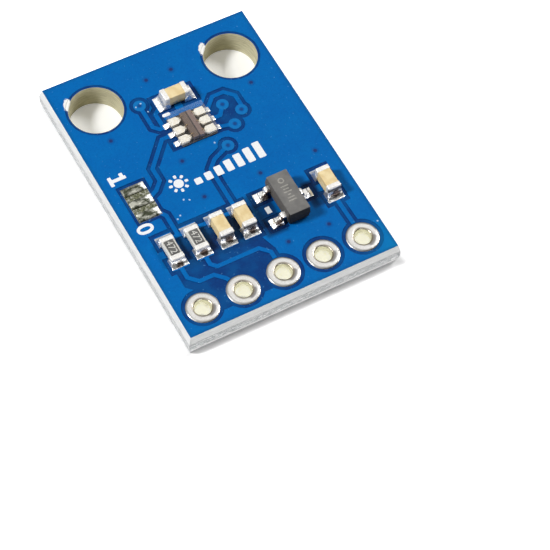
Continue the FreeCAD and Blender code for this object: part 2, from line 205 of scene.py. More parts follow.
class Recipe:
    """A node tree, filled one node at a time."""

    def __init__(self, tree):
        self.tree = tree
        tree.nodes.clear()

    def node(self, kind, settings=None, inputs=None, output=0):
        made = self.tree.nodes.new(kind)
        for name, setting in (settings or {}).items():
            setattr(made, name, setting)
        for name, value in (inputs or {}).items():
            if isinstance(value, Value):
                self.tree.links.new(value.socket, made.inputs[name])
            else:
                made.inputs[name].default_value = value
        return Value(self, made.outputs[output])

    def place(self):
        """The point on the piece in millimetres."""
        point = self.node("ShaderNodeTexCoord", output=3)
        return self.node(
            "ShaderNodeVectorMath", {"operation": "SCALE"}, {0: point, "Scale": 1 / MM})

    def split(self, vector):
        node = self.node("ShaderNodeSeparateXYZ", inputs={0: vector}).socket.node
        return [Value(self, socket) for socket in node.outputs]

    def joined(self, x, y, z):
        return self.node("ShaderNodeCombineXYZ", inputs={0: x, 1: y, 2: z})

    def distance(self, point, centre):
        return self.node(
            "ShaderNodeVectorMath", {"operation": "DISTANCE"}, {0: point, 1: centre}, 1)

    def nearest(self, point, centres):
        """The distance to the nearest of several points of the face."""
        found = None
        for x, y in centres:
            away = self.distance(point, (x, y, 0))
            found = away if found is None else found.least(away)
        return found

    def noise(self, point, scale, detail=2.0, roughness=0.5):
        return self.node(
            "ShaderNodeTexNoise",
            inputs={"Vector": point, "Scale": scale, "Detail": detail, "Roughness": roughness},
        )

    def colour(self, mask, low, high):
        """The colour low where the mask is 0, and high where it is 1."""
        low, high = [c if isinstance(c, Value) else (*c, 1.0) for c in (low, high)]
        return self.node("ShaderNodeMix", {"data_type": "RGBA"}, {0: mask, 6: low, 7: high}, 2)

    def bump(self, height, distance):
        """A normal that rises with the height, by a distance in millimetres."""
        return self.node(
            "ShaderNodeBump",
            inputs={"Height": height, "Distance": distance * MM, "Strength": 1.0},
        )

    def surface(self, **sockets):
        """The glossy or matt surface itself, with sockets named by their words."""
        inputs = {name.replace("_", " ").title().replace("Ior", "IOR"): v
                  for name, v in sockets.items()}
        inputs = {n: (*v, 1.0) if isinstance(v, tuple) and len(v) == 3 else v
                  for n, v in inputs.items()}
        return self.node("ShaderNodeBsdfPrincipled", inputs=inputs)

    def output(self, shader, kind="ShaderNodeOutputMaterial"):
        """Join the shader to the tree's end."""
        end = self.tree.nodes.new(kind)
        self.tree.links.new(shader.socket, end.inputs["Surface"])


def material(name, build):
    """A named material, filled by build(recipe), which returns its shader."""
    made = bpy.data.materials.get(name)
    if made is None:
        made = bpy.data.materials.new(name)
        made.use_nodes = True
        recipe = Recipe(made.node_tree)
        recipe.output(build(recipe))
    return made


def coated_board(recipe):
    """Blue coating over copper and laminate, with the pale laminate at the edges and holes, and
    with painted shade, sheen and glints.
    """
    sizes = bpy.context.scene.light_sensor_board
    point = recipe.place()
    x, y, z = recipe.split(point)
    flat = recipe.joined(x, y, 0.0)
    end = (x.size() - BOARD_HALF[0]).most(y.size() - BOARD_HALF[1])

    # Copper lies under the raised face, the underside and the band along the edges.
    cloud = recipe.noise(point, 0.9, 3.0)
    grain = recipe.noise(point, 9.0, 3.0, 0.6)
    raised = z.step(1.568, 1.596)
    under = z.step(0.02, 0.0)
    on_top = z.step(1.4, 1.5)
    copper = raised.most(under).most(end.step(-0.3, -0.24) * 0.9)
    blue = recipe.colour(copper, tuple(sizes.bare_coating), tuple(sizes.coating))

    # Painted shade: the coating is darker between the chips and round the regulator's feet.
    row = x.near(*CHIP_ROW_SHADE[0]) * y.near(*CHIP_ROW_SHADE[1])
    blue = recipe.colour(row * (1.0 - copper) * 0.75, blue, tint(6, 32, 72))
    painted_left_feet_shade = x.near(*LEFT_FEET_SHADE[0]) * y.near(*LEFT_FEET_SHADE[1])
    painted_right_foot_shade = x.near(*RIGHT_FOOT_SHADE[0]) * y.near(*RIGHT_FOOT_SHADE[1])
    blue = recipe.colour(painted_left_feet_shade.most(painted_right_foot_shade) * on_top * 0.8, blue, tint(5, 22, 62))
    blue = recipe.colour(cloud.step(0.35, 0.7) * 0.25, blue, tint(0, 118, 188))
    blue = recipe.colour(grain.step(0.42, 0.7) * 0.25, blue, tint(0, 78, 148))
    # Painted sheen: the coating turns paler towards the front right corner.
    painted_corner_sheen = recipe.distance(flat, PALE_CORNER_SHEEN).step(3.4, 0.6)
    blue = recipe.colour(painted_corner_sheen * 0.6, blue, tint(8, 140, 196))
    blue = recipe.colour(end.step(-0.26, -0.02) * 0.4, blue, tint(8, 74, 112))

    # Vias, dust and pale flecks; the fleck on the top left via is a painted glint.
    via = recipe.nearest(flat, TRACE_VIAS)
    ring = via.step(0.4, 0.34) * via.step(0.14, 0.2)
    blue = recipe.colour(ring * 0.3, blue, tint(40, 140, 204))
    blue = recipe.colour(via.step(0.15, 0.08) * 0.6, blue, tint(34, 40, 92))
    tented = recipe.nearest(flat, POUR_VIAS)
    blue = recipe.colour(tented.step(0.3, 0.16) * 0.3, blue, tint(10, 60, 130))
    blue = recipe.colour(tented.step(0.16, 0.07) * 0.75, blue, tint(38, 32, 82))
    fleck_and_glint = recipe.nearest(flat, SPECKS_AND_GLINTS) + (grain - 0.5) * 0.1
    blue = recipe.colour(fleck_and_glint.step(0.07, 0.04) * on_top * 0.85, blue, tint(190, 215, 240))
    dust = recipe.noise(point, 5.0, 2.0, 0.8)
    blue = recipe.colour(dust.step(0.68, 0.72) * 0.5, blue, tint(96, 160, 214))

    # Bare laminate: torn and streaked at the edges, drilled in the holes, scraped at the jumper,
    # with painted shade on the left side and along the bottom of the edges.
    strands = recipe.noise(recipe.joined(x, y, z * 14.0), 1.6, 4.0, 0.6)
    glass = recipe.colour(strands.step(0.35, 0.7), tint(230, 231, 230), tint(250, 250, 250))
    rib = z.near(*TORN_RIB)
    torn = recipe.noise(recipe.joined(x * 0.22, y * 0.22, z * 2.0), 7.0, 5.0, 0.75)
    glass = recipe.colour(rib * torn.step(0.42, 0.5), glass, tint(172, 176, 178))
    glass = recipe.colour(rib * torn.step(0.52, 0.56), glass, tint(255, 255, 255))
    # Painted shade: the left side of the board is greyer.
    glass = recipe.colour((x + BOARD_HALF[0]).step(0.02, 0.0) * 0.35, glass, tint(196, 198, 198))
    # Painted shade: the laminate darkens along the bottom of the edges.
    glass = recipe.colour(z.step(0.16, 0.06) * torn.step(0.3, 0.6), glass, tint(120, 118, 114))
    bore = recipe.colour(strands.step(0.3, 0.7), tint(178, 173, 142), tint(218, 213, 185))
    hole = recipe.nearest(flat, MOUNT_HOLES)
    in_bore = hole.step(MOUNT_RADIUS + 0.02, MOUNT_RADIUS + 0.01)
    # Pale marks at the rims of the mounting holes.
    narrow = recipe.joined((x - y * RIM_MARK_LEAN) * RIM_MARK_SQUEEZE, y, 0.0)
    chip = recipe.nearest(narrow, [((cx - cy * RIM_MARK_LEAN) * RIM_MARK_SQUEEZE, cy)
                                   for cx, cy in RIM_MARKS])
    rim_marked = (chip + (grain - 0.5) * 0.4).step(0.42, 0.34) * z.step(1.1, 1.4)
    side = end.step(-0.004, -0.002)
    window = x.near(*JUMPER_WINDOW[0]).least(y.near(*JUMPER_WINDOW[1])) * on_top
    bare = recipe.colour(in_bore, glass, bore)
    bare = recipe.colour(rim_marked, bare, tint(250, 250, 246))
    olive = recipe.colour(grain.step(0.35, 0.65), tint(70, 76, 56), tint(132, 132, 106))
    olive = recipe.colour(dust.step(0.52, 0.62) * 0.7, olive, tint(196, 196, 184))
    bare = recipe.colour(window, bare, olive)
    exposed = side.most(in_bore).most(rim_marked).most(window)
    base = recipe.colour(exposed, blue, bare)

    gloss = 0.34 + grain * 0.16 + exposed * 0.35
    dimple = tented.step(0.22, 0.1).most(via.step(0.2, 0.1))
    height = grain * 0.25 + cloud * 0.4 + torn * side * rib * 8.0 - dimple * 2.0
    return recipe.surface(
        base_color=base, roughness=gloss, specular_ior_level=0.12,
        normal=recipe.bump(height, 0.008),
    )


def bright_tin(recipe):
    """Tin that has melted and set: bright, with a faint ripple, painted dark reflections and shade
    in the joints' hollows, and painted highlights on their ears.
    """
    point = recipe.place()
    ripple = recipe.noise(point, 3.2, 2.0, 0.5)
    grain = recipe.noise(point, 16.0, 3.0, 0.6)
    x, y, _ = recipe.split(point)
    base = recipe.colour(grain.step(0.35, 0.75), tint(250, 249, 246), tint(224, 221, 216))
    # Painted dark reflections and shade in the joints' hollows, and painted highlights on their
    # ears.
    wide = recipe.joined(x * HOLLOW_SHADE_SQUEEZE, y, 0.0)
    painted_hollow_shade = recipe.nearest(wide, [(cx * HOLLOW_SHADE_SQUEEZE, cy) for cx, cy in JOINT_HOLLOW_SHADE])
    painted_hollow_shade = (painted_hollow_shade + (ripple - 0.5) * 0.3 + (grain - 0.5) * 0.15).step(0.2, 0.1)
    painted_ear_highlight = recipe.nearest(recipe.joined(x, y, 0.0), JOINT_EAR_HIGHLIGHTS)
    painted_ear_highlight = (painted_ear_highlight + (ripple - 0.5) * 0.2).step(0.24, 0.14)
    base = recipe.colour(painted_hollow_shade * 0.95, base, tint(70, 52, 44))
    base = recipe.colour(painted_ear_highlight, base, tint(255, 255, 253))
    return recipe.surface(
        base_color=base, metallic=0.85 + painted_ear_highlight * 0.15, roughness=0.18 + grain * 0.22,
        normal=recipe.bump(ripple + grain * 0.12, 0.06),
    )


def jumper_tin(recipe):
    """Tin wiped thin over the jumper's lands, grey and streaked, with a painted highlight at their
    right ends.
    """
    x, y, _ = recipe.split(recipe.place())
    streak = recipe.noise(recipe.joined(x * 0.8, y * 1.2, 0.0), 2.6, 3.0, 0.6)
    base = recipe.colour(streak.step(0.38, 0.62), tint(66, 70, 54), tint(184, 184, 172))
    # Painted highlight on the right ends of the lands.
    bright = (x + 4.6 + (streak - 0.5) * 0.8).step(0.0, 0.2)
    base = recipe.colour(bright, base, tint(250, 249, 245))
    return recipe.surface(
        base_color=base, metallic=0.8, roughness=0.24 + streak * 0.3,
        normal=recipe.bump(streak, 0.07),
    )


def plated_tin(recipe):
    """The tin on the plated rings, with painted shade as a grey seam round the outside and at the
    bore, and on one side of each ring.
    """
    point = recipe.place()
    ripple = recipe.noise(point, 2.2, 2.0, 0.5)
    grain = recipe.noise(point, 14.0, 3.0, 0.6)
    x, y, _ = recipe.split(point)
    flat = recipe.joined(x, y, 0.0)
    base = recipe.colour(grain.step(0.35, 0.75), tint(233, 231, 228), tint(212, 209, 203))
    away = recipe.nearest(flat, PIN_HOLES) + (ripple - 0.5) * 0.06
    # Painted shade: a grey seam round the outside of each ring.
    base = recipe.colour(away.step(0.8, 0.92) * 0.8, base, tint(128, 128, 126))
    # Painted shade on the side of each ring that leans to the front right.
    shift_x, shift_y = RING_SHADE_SHIFT
    lean = recipe.nearest(flat, [(px + shift_x, py + shift_y) for px, py in PIN_HOLES])
    painted_shade_side = (lean + (ripple - 0.5) * 0.4).step(0.5, 0.3) * away.step(0.8, 0.68)
    base = recipe.colour(painted_shade_side * 0.8, base, tint(116, 114, 114))
    # Painted shade: a grey seam where the ring meets the bore.
    base = recipe.colour(away.step(0.66, 0.56) * 0.8, base, tint(132, 120, 98))
    within = away.step(0.53, 0.505)
    base = recipe.colour(within, base, tint(228, 226, 208))
    return recipe.surface(
        base_color=base, metallic=1.0, roughness=0.24 + grain * 0.16 - within * 0.14,
        normal=recipe.bump(ripple + grain * 0.1, 0.03),
    )


def cap_tin(recipe):
    """The dull dipped tin of the chips' end caps, with painted shade on the front of the tall
    chips.
    """
    point = recipe.place()
    grain = recipe.noise(point, 12.0, 4.0, 0.6)
    x, y, z = recipe.split(point)
    base = recipe.colour(grain.step(0.3, 0.75), tint(252, 251, 248), tint(226, 222, 214))
    # Painted shade on the lower front of the tall chips' end caps.
    front = y.step(-4.5, -4.58) * x.step(-2.6, -2.5)
    low = (z + (grain - 0.5) * 0.1).step(2.37, 2.27)
    base = recipe.colour(front * low * 0.9, base, tint(72, 70, 70))
    return recipe.surface(
        base_color=base, metallic=0.35, roughness=0.34 + grain * 0.2,
        normal=recipe.bump(grain, 0.02),
    )


def tan_ceramic(recipe):
    """The capacitors' tan ceramic, with soft clouds in it."""
    point = recipe.place()
    cloud = recipe.noise(point, 2.5, 3.0)
    grain = recipe.noise(point, 30.0, 3.0, 0.7)
    base = recipe.colour(cloud.step(0.3, 0.7), tint(232, 206, 150), tint(246, 226, 178))
    base = recipe.colour(grain.step(0.5, 0.8) * 0.3, base, tint(214, 176, 116))
    return recipe.surface(
        base_color=base, roughness=0.42 + grain * 0.15, normal=recipe.bump(grain, 0.006),
    )


def white_ceramic(recipe):
    """The resistors' white ceramic, a little stained."""
    point = recipe.place()
    grain = recipe.noise(point, 24.0, 3.0, 0.7)
    base = recipe.colour(grain.step(0.35, 0.75), tint(232, 231, 224), tint(205, 202, 192))
    return recipe.surface(
        base_color=base, roughness=0.55 + grain * 0.15, normal=recipe.bump(grain, 0.008),
    )


def dark_glaze(recipe):
    """The grey glaze on the resistors."""
    point = recipe.place()
    cloud = recipe.noise(point, 5.0, 3.0)
    base = recipe.colour(cloud.step(0.3, 0.7), tint(84, 84, 83), tint(104, 103, 100))
    return recipe.surface(
        base_color=base, roughness=0.3 + cloud * 0.14, normal=recipe.bump(cloud, 0.01),
    )


def grey_moulding(recipe):
    """The regulator's moulded body, with worn marks on its top, and painted shade that darkens its
    sides and turns its front nearly black.
    """
    point = recipe.place()
    cloud = recipe.noise(point, 1.5, 3.0)
    grain = recipe.noise(point, 22.0, 4.0, 0.7)
    base = recipe.colour(cloud.step(0.3, 0.7), tint(112, 111, 109), tint(130, 128, 125))
    base = recipe.colour(grain.step(0.55, 0.8) * 0.35, base, tint(156, 154, 149))
    x, y, z = recipe.split(point)
    mark = recipe.nearest(recipe.joined(x, y, 0.0), [MARK_RING]).near(0.15, 0.03, 0.05)
    for place, half in MARK_BARS:
        bar = y.near(place, 0.03, 0.05)
        mark = mark.most(bar * x.near(MARK_RING[0], half, half + 0.02))
    worn = z.step(2.6, 2.64) * grain.step(0.3, 0.6)
    base = recipe.colour(mark * worn * 0.6, base, tint(200, 197, 186))
    # Painted shade: the sides are darker than the top, and the front nearly black.
    front = y.step(-5.05, -5.15)
    painted_shaded_sides = recipe.colour(front, tint(92, 89, 86), tint(8, 8, 10))
    base = recipe.colour(z.step(2.64, 2.56) * 0.95, base, painted_shaded_sides)
    return recipe.surface(
        base_color=base, roughness=0.62 + grain * 0.2, specular_ior_level=0.25,
        normal=recipe.bump(grain, 0.012),
    )


def clear_resin(recipe):
    """Clear resin with a dark base, so that only the underside and the glints stop the eye."""
    point = recipe.place()
    z = recipe.split(point)[2]
    cloud = recipe.noise(point, 2.0, 2.0)
    base_film = z.step(1.66, 1.65)
    body = recipe.surface(
        base_color=recipe.colour(base_film, tint(226, 222, 214), tint(58, 54, 50)),
        roughness=0.06 + cloud * 0.08 + base_film * 0.5, normal=recipe.bump(cloud, 0.01),
    )
    clear = recipe.node("ShaderNodeBsdfTransparent", inputs={"Color": (1.0, 1.0, 1.0, 1.0)})
    glint = recipe.node("ShaderNodeLayerWeight", inputs={"Blend": 0.2}, output=1)
    cover = (glint * 0.4 + 0.01).most(base_film)
    return recipe.node("ShaderNodeMixShader", inputs={0: cover, 1: clear, 2: body})


def sensor_chip(recipe):
    """The brown chip in two halves, with a dark line between them."""
    point = recipe.place()
    x = recipe.split(point)[0]
    grain = recipe.noise(point, 20.0, 3.0, 0.6)
    base = recipe.colour(x.step(0.0, 0.06), tint(104, 88, 78), tint(128, 108, 102))
    line = x.near(0.02, 0.03, 0.05)
    base = recipe.colour(line, base, tint(34, 30, 32))
    base = recipe.colour(grain.step(0.4, 0.8) * 0.3, base, tint(150, 128, 120))
    return recipe.surface(
        base_color=base, roughness=0.25 + grain * 0.12, normal=recipe.bump(grain, 0.002),
    )


def gold_contact(recipe):
    """The pale gold of the contacts in the resin."""
    point = recipe.place()
    grain = recipe.noise(point, 9.0, 3.0, 0.6)
    base = recipe.colour(grain.step(0.35, 0.75), tint(255, 252, 242), tint(246, 234, 210))
    return recipe.surface(
        base_color=base, roughness=0.3 + grain * 0.2, normal=recipe.bump(grain, 0.02),
    )


def bond_gold(recipe):
    """The gold of the bond wires."""
    point = recipe.place()
    grain = recipe.noise(point, 14.0, 2.0)
    base = recipe.colour(grain.step(0.3, 0.7), tint(212, 178, 110), tint(186, 148, 80))
    return recipe.surface(base_color=base, metallic=0.8, roughness=0.25 + grain * 0.15)


def white_ink(recipe):
    """The board's white print."""
    sizes = bpy.context.scene.light_sensor_print
    point = recipe.place()
    grain = recipe.noise(point, 14.0, 4.0, 0.6)
    base = recipe.colour(grain.step(0.55, 0.85), tuple(sizes.ink), tint(214, 222, 232))
    return recipe.surface(
        base_color=base, roughness=0.5 + grain * 0.2, normal=recipe.bump(grain, 0.006),
    )


def pale_ink(recipe):
    """The pale digits on the glaze."""
    point = recipe.place()
    grain = recipe.noise(point, 20.0, 3.0, 0.6)
    base = recipe.colour(grain.step(0.4, 0.75), tint(226, 225, 218), tint(190, 189, 182))
    return recipe.surface(base_color=base, roughness=0.5 + grain * 0.2)


# ---------------------------------------------------------------- shaping


def take_up(piece):
    """Make the piece the one that the tools act on."""
    bpy.ops.object.select_all(action="DESELECT")
    piece.select_set(True)
    bpy.context.view_layer.objects.active = piece
    return piece


def edit(piece):
    """Open the piece in edit mode with all of it selected."""
    take_up(piece)
    bpy.ops.object.mode_set(mode="EDIT")
    bpy.ops.mesh.select_all(action="SELECT")


def done():
    """Leave edit mode."""
    bpy.ops.object.mode_set(mode="OBJECT")


def apply_place(piece):
    """Move the piece's place, turn and scale into its mesh."""
    take_up(piece)
    bpy.ops.object.transform_apply(location=True, rotation=True, scale=True)


def pick(piece, kind, test):
    """Select only the faces, edges or vertices of the piece in hand that pass the test."""
    edit(piece)
    bpy.ops.mesh.select_all(action="DESELECT")
    bpy.ops.mesh.select_mode(type={"polygons": "FACE", "edges": "EDGE", "vertices": "VERT"}[kind])
    done()
    count = 0
    for part in getattr(piece.data, kind):
        part.select = bool(test(part))
        count += part.select
    bpy.ops.object.mode_set(mode="EDIT")
    if not count:
        raise RuntimeError(f"nothing to select on {piece.name}")


def finish_with(piece, kind, **values):
    """Add a modifier and apply it."""
    take_up(piece)
    bpy.ops.object.modifier_add(type=kind)
    modifier = piece.modifiers[-1]
    for name, value in values.items():
        setattr(modifier, name, value)
    bpy.ops.object.modifier_apply(modifier=modifier.name)


def soften(piece, width, segments=2):
    """Round the piece's edges."""
    finish_with(piece, "BEVEL", width=width, segments=segments, limit_method="ANGLE",
                angle_limit=math.radians(30.0))


def smooth(piece, angle=40.0):
    """Shade the piece smooth, but for edges sharper than the angle."""
    take_up(piece)
    bpy.ops.object.shade_smooth_by_angle(angle=math.radians(angle))


def welded_copy(node, name, whole_faces=True):
    """A copy of a frame node with its loose triangles joined, in millimetres."""
    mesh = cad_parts[node].data.copy()
    piece = bpy.data.objects.new(name, mesh)
    bpy.context.scene.collection.objects.link(piece)
    take_up(piece)
    if mesh.has_custom_normals:
        bpy.ops.mesh.customdata_custom_splitnormals_clear()
    piece.scale = (1 / MM, 1 / MM, 1 / MM)
    apply_place(piece)
    edit(piece)
    bpy.ops.mesh.remove_doubles(threshold=0.001)
    if whole_faces:
        bpy.ops.mesh.dissolve_limited(angle_limit=math.radians(1.0))
    done()
    return piece


def copy_of(piece, name, shift, turn=0.0, about=(0, 0, 0)):
    """A copy with its own mesh, turned in degrees about a point and moved."""
    take_up(piece)
    bpy.ops.object.duplicate(linked=False)
    made = bpy.context.object
    made.name = name
    if turn:
        edit(made)
        bpy.ops.transform.rotate(value=math.radians(-turn), orient_axis="Z",
                                 center_override=about)
        done()
    made.location = shift
    apply_place(made)
    return made


def joined(pieces, name):
    """Make one piece of several."""
    bpy.ops.object.select_all(action="DESELECT")
    for piece in pieces:
        piece.select_set(True)
    bpy.context.view_layer.objects.active = pieces[0]
    bpy.ops.object.join()
    pieces[0].name = name
    return pieces[0]


def settle(piece, finish, slot, *nodes):
    """Shrink the piece to metres, give it its finish and let it ride on the board."""
    piece.scale = (MM, MM, MM)
    apply_place(piece)
    piece.data.materials.clear()
    piece.data.materials.append(finish)
    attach(piece, "root")
    if nodes:
        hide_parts(*nodes)
    return piece


def melted(node, name):
    """A copy of a solder node with its edges run smooth, as set solder has."""
    sizes = bpy.context.scene.light_sensor_metal
    piece = welded_copy(node, name)
    finish_with(piece, "REMESH", mode="VOXEL", voxel_size=sizes.solder_grid / MM)
    finish_with(piece, "SMOOTH", factor=0.5, iterations=sizes.solder_rounds)
    take_up(piece)
    bpy.ops.object.shade_smooth()
    return piece


def turned_piece(name, centre, profile, segments):
    """A closed turned piece, from a circle that is extruded and resized along its profile."""
    x, y = centre
    radius, height = profile[0]
    bpy.ops.object.select_all(action="DESELECT")
    bpy.ops.mesh.primitive_circle_add(vertices=segments, radius=radius, location=(x, y, height))
    piece = bpy.context.object
    piece.name = name
    apply_place(piece)
    edit(piece)
    for wide, high in profile[1:]:
        bpy.ops.mesh.extrude_region_move(TRANSFORM_OT_translate={"value": (0, 0, high - height)})
        bpy.ops.transform.resize(value=(wide / radius, wide / radius, 1),
                                 center_override=(x, y, high))
        radius, height = wide, high
    bpy.ops.mesh.select_all(action="SELECT")
    bpy.ops.mesh.remove_doubles(threshold=0.0005)
    bpy.ops.mesh.normals_make_consistent(inside=False)
    done()
    smooth(piece)
    return piece


def block(name, middle, size):
    """A plain block, to be shaped."""
    bpy.ops.object.select_all(action="DESELECT")
    bpy.ops.mesh.primitive_cube_add(size=1, location=middle, scale=size)
    piece = bpy.context.object
    piece.name = name
    apply_place(piece)
    return piece


def slab(name, x, y, z, length, width, height, round_off=0.04):
    """A thin raised patch with rounded corners that stands on z."""
    piece = block(name, (x, y, z + height / 2), (length, width, height))
    points = piece.data.vertices
    pick(piece, "edges",
         lambda e: points[e.vertices[0]].co.z != points[e.vertices[1]].co.z)
    bpy.ops.mesh.bevel(offset=round_off, segments=4)
    done()
    return piece


def disc(name, x, y, z, radius, height):
    """A thin raised disc that stands on z."""
    bpy.ops.object.select_all(action="DESELECT")
    bpy.ops.mesh.primitive_circle_add(vertices=48, radius=radius, fill_type="NGON",
                                      location=(x, y, z))
    piece = bpy.context.object
    piece.name = name
    apply_place(piece)
    edit(piece)
    bpy.ops.mesh.extrude_region_move(TRANSFORM_OT_translate={"value": (0, 0, height)})
    bpy.ops.mesh.select_all(action="SELECT")
    bpy.ops.mesh.normals_make_consistent(inside=False)
    done()
    return piece


def digits(name, words, x, y, z, height, thickness, weight):
    """Plain digits as a thin raised mesh, centred on a place and turned to read from the right."""
    bpy.ops.object.select_all(action="DESELECT")
    bpy.ops.object.text_add()
    text = bpy.context.object
    text.name = name
    text.data.body = words
    text.data.size = height / 0.7
    text.data.align_x = "CENTER"
    text.data.offset = weight
    text.data.extrude = thickness / 2
    text.data.resolution_u = 6
    bpy.ops.object.convert(target="MESH")
    piece = bpy.context.object
    corners = [v.co.copy() for v in piece.data.vertices]
    middle_x = (max(c.x for c in corners) + min(c.x for c in corners)) / 2
    middle_y = (max(c.y for c in corners) + min(c.y for c in corners)) / 2
    edit(piece)
    bpy.ops.mesh.remove_doubles(threshold=0.0005)
    bpy.ops.transform.translate(value=(-middle_x, -middle_y, thickness / 2))
    done()
    piece.rotation_euler = (0, 0, math.radians(-90))
    piece.location = (x, y, z)
    apply_place(piece)
    return piece


# ---------------------------------------------------------------- settings


class BoardSettings(bpy.types.PropertyGroup):
    coating: bpy.props.FloatVectorProperty(
        name="Coating over copper", description="Colour of the blue coating over copper",
        subtype="COLOR", size=3, min=0, max=1, default=tint(0, 103, 180))
    bare_coating: bpy.props.FloatVectorProperty(
        name="Coating over laminate", description="Colour of the coating where no copper lies",
        subtype="COLOR", size=3, min=0, max=1, default=tint(8, 54, 116))
    slope: bpy.props.FloatProperty(
        name="Coating slope", description="Width over which the coating runs down off copper",
        subtype="DISTANCE", unit="LENGTH", default=0.000018)


class MetalSettings(bpy.types.PropertyGroup):
    solder_grid: bpy.props.FloatProperty(
        name="Solder grid", description="Size of the grid that the solder is cast on",
        subtype="DISTANCE", unit="LENGTH", default=0.000022)
    solder_rounds: bpy.props.IntProperty(
        name="Solder smoothing", description="Rounds of smoothing on the solder", default=7)
    ring_sides: bpy.props.IntProperty(
        name="Ring sides", description="Sides of each plated ring", default=96)
    cap_edge: bpy.props.FloatProperty(
        name="Cap edge", description="Radius on the end caps' edges",
        subtype="DISTANCE", unit="LENGTH", default=0.00005)


class PrintSettings(bpy.types.PropertyGroup):
    ink: bpy.props.FloatVectorProperty(
        name="Ink", description="Colour of the printed marks",
        subtype="COLOR", size=3, min=0, max=1, default=tint(248, 250, 252))
    ink_height: bpy.props.FloatProperty(
        name="Ink height", description="How far the ink stands on the coating",
        subtype="DISTANCE", unit="LENGTH", default=0.000014)


class StageSettings(bpy.types.PropertyGroup):
    key_power: bpy.props.FloatProperty(
        name="Key light", description="Power of the lamp behind on the left, in watts",
        default=0.71)
    fill_power: bpy.props.FloatProperty(
        name="Second light", description="Power of the lamp behind on the right, in watts",
        default=0.42)
    card_power: bpy.props.FloatProperty(
        name="Front card", description="Power of the low card in front, in watts", default=0.26)
    room_level: bpy.props.FloatProperty(
        name="Room light", description="Level of the even light in the room", default=0.05)


# ---------------------------------------------------------------- pieces


class LIGHTSENSOR_OT_board(bpy.types.Operator):
    """Coat the board and slope the coating down at the edges of the copper"""

    bl_idname = "light_sensor.board"
    bl_label = "Coated board"

    def execute(self, context):
        sizes = context.scene.light_sensor_board
        piece = welded_copy("printed_board", "coated_board", whole_faces=False)

        def at_rim(v):
            out = max(abs(v.co.x) - BOARD_HALF[0], abs(v.co.y) - BOARD_HALF[1])
            return out > -EDGE_GAP - 0.01

        # Along the board's edge the coating stands nearly as high as over copper.
        pick(piece, "vertices", lambda v: at_rim(v) and FACE - 0.05 < v.co.z < FACE - 0.03)
        bpy.ops.transform.translate(value=(0, 0, 0.037))
        done()
        # Elsewhere it slopes down from the edge of the copper.
        pick(piece, "polygons", lambda f: f.normal.z > 0.9 and f.center.z > FACE - 0.002)
        bpy.ops.mesh.inset(thickness=sizes.slope / MM, depth=0, use_even_offset=True)
        done()
        kept = {v for f in piece.data.polygons if f.select for v in f.vertices}
        pick(piece, "vertices",
             lambda v: v.co.z > FACE - 0.002 and v.index not in kept and not at_rim(v))
        bpy.ops.transform.translate(value=(0, 0, -0.03))
        done()
        smooth(piece, 15)
        settle(piece, material("Blue coating", coated_board), "coated_board", "printed_board")
        return {"FINISHED"}


class LIGHTSENSOR_OT_rings(bpy.types.Operator):
    """Turn the tinned ring and barrel of a pin hole, and copy it along the row"""

    bl_idname = "light_sensor.rings"
    bl_label = "Plated pin holes"

    def execute(self, context):
        painted_shaded_sides = context.scene.light_sensor_metal.ring_sides
        finish = material("Plated tin", plated_tin)
        first = turned_piece("pin_ring_1", PIN_HOLES[0], RING_PROFILE, painted_shaded_sides)
        rings = [first] + [
            copy_of(first, f"pin_ring_{i + 1}", (x - PIN_HOLES[0][0], 0, 0))
            for i, (x, _) in enumerate(PIN_HOLES) if i
        ]
        for i, ring in enumerate(rings, 1):
            settle(ring, finish, "tin", f"plated_hole_{i}")
        return {"FINISHED"}


class LIGHTSENSOR_OT_chips(bpy.types.Operator):
    """Round the ceramic blocks and dipped ends of the capacitors and resistors"""

    bl_idname = "light_sensor.chips"
    bl_label = "Chip parts"

    def execute(self, context):
        tan = material("Tan ceramic", tan_ceramic)
        tin = material("Dipped tin", cap_tin)
        white = material("White ceramic", white_ceramic)
        glaze = material("Dark glaze", dark_glaze)
        cap_edge = context.scene.light_sensor_metal.cap_edge / MM
        dressed = []
        for i in range(1, 5):
            dressed.append((f"capacitor_{i}_body", tan, "tan_ceramic", 0.03))
            dressed.append((f"capacitor_{i}_ends", tin, "tin", cap_edge))
        for i in (1, 2):
            dressed.append((f"resistor_{i}_substrate", white, "white_ceramic", 0.02))
            dressed.append((f"resistor_{i}_ends", tin, "tin", 0.03))
            dressed.append((f"resistor_{i}_overcoat", glaze, "dark_glaze", 0.015))
        for node, finish, slot, edge in dressed:
            piece = welded_copy(node, f"{node}_dressed")
            if finish is glaze:
                xs = [v.co.x for v in piece.data.vertices]
                middle = ((max(xs) + min(xs)) / 2, 0, 0)
                edit(piece)
                bpy.ops.transform.resize(value=(0.78, 1, 1), center_override=middle)
                done()
            soften(piece, edge, 3)
            smooth(piece)
            settle(piece, finish, slot, node)
        return {"FINISHED"}


class LIGHTSENSOR_OT_solder(bpy.types.Operator):
    """Run the solder smooth round every foot, cap and land"""

    bl_idname = "light_sensor.solder"
    bl_label = "Solder"

    def execute(self, context):
        bright = material("Bright tin", bright_tin)
        wiped = material("Wiped tin", jumper_tin)
        joints = [(n, bright) for n in sorted(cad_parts) if n.endswith("_solder")]
        lands = [(f"jumper_solder_{i}", wiped) for i in (1, 2, 3)]
        for node, finish in joints + lands:
            settle(melted(node, f"{node}_set"), finish, "tin", node)
        return {"FINISHED"}


class LIGHTSENSOR_OT_regulator(bpy.types.Operator):
    """Dress the regulator's moulded body and its three leads"""

    bl_idname = "light_sensor.regulator"
    bl_label = "Regulator"

    def execute(self, context):
        body = welded_copy("regulator_body", "regulator_moulding")
        soften(body, 0.045, 3)
        smooth(body)
        settle(body, material("Grey moulding", grey_moulding), "grey_moulding", "regulator_body")
        for i in (1, 2, 3):
            lead = welded_copy(f"regulator_lead_{i}", f"regulator_lead_{i}_tinned")
            soften(lead, 0.02, 2)
            smooth(lead)
            settle(lead, material("Bright tin", bright_tin), "tin", f"regulator_lead_{i}")
        return {"FINISHED"}


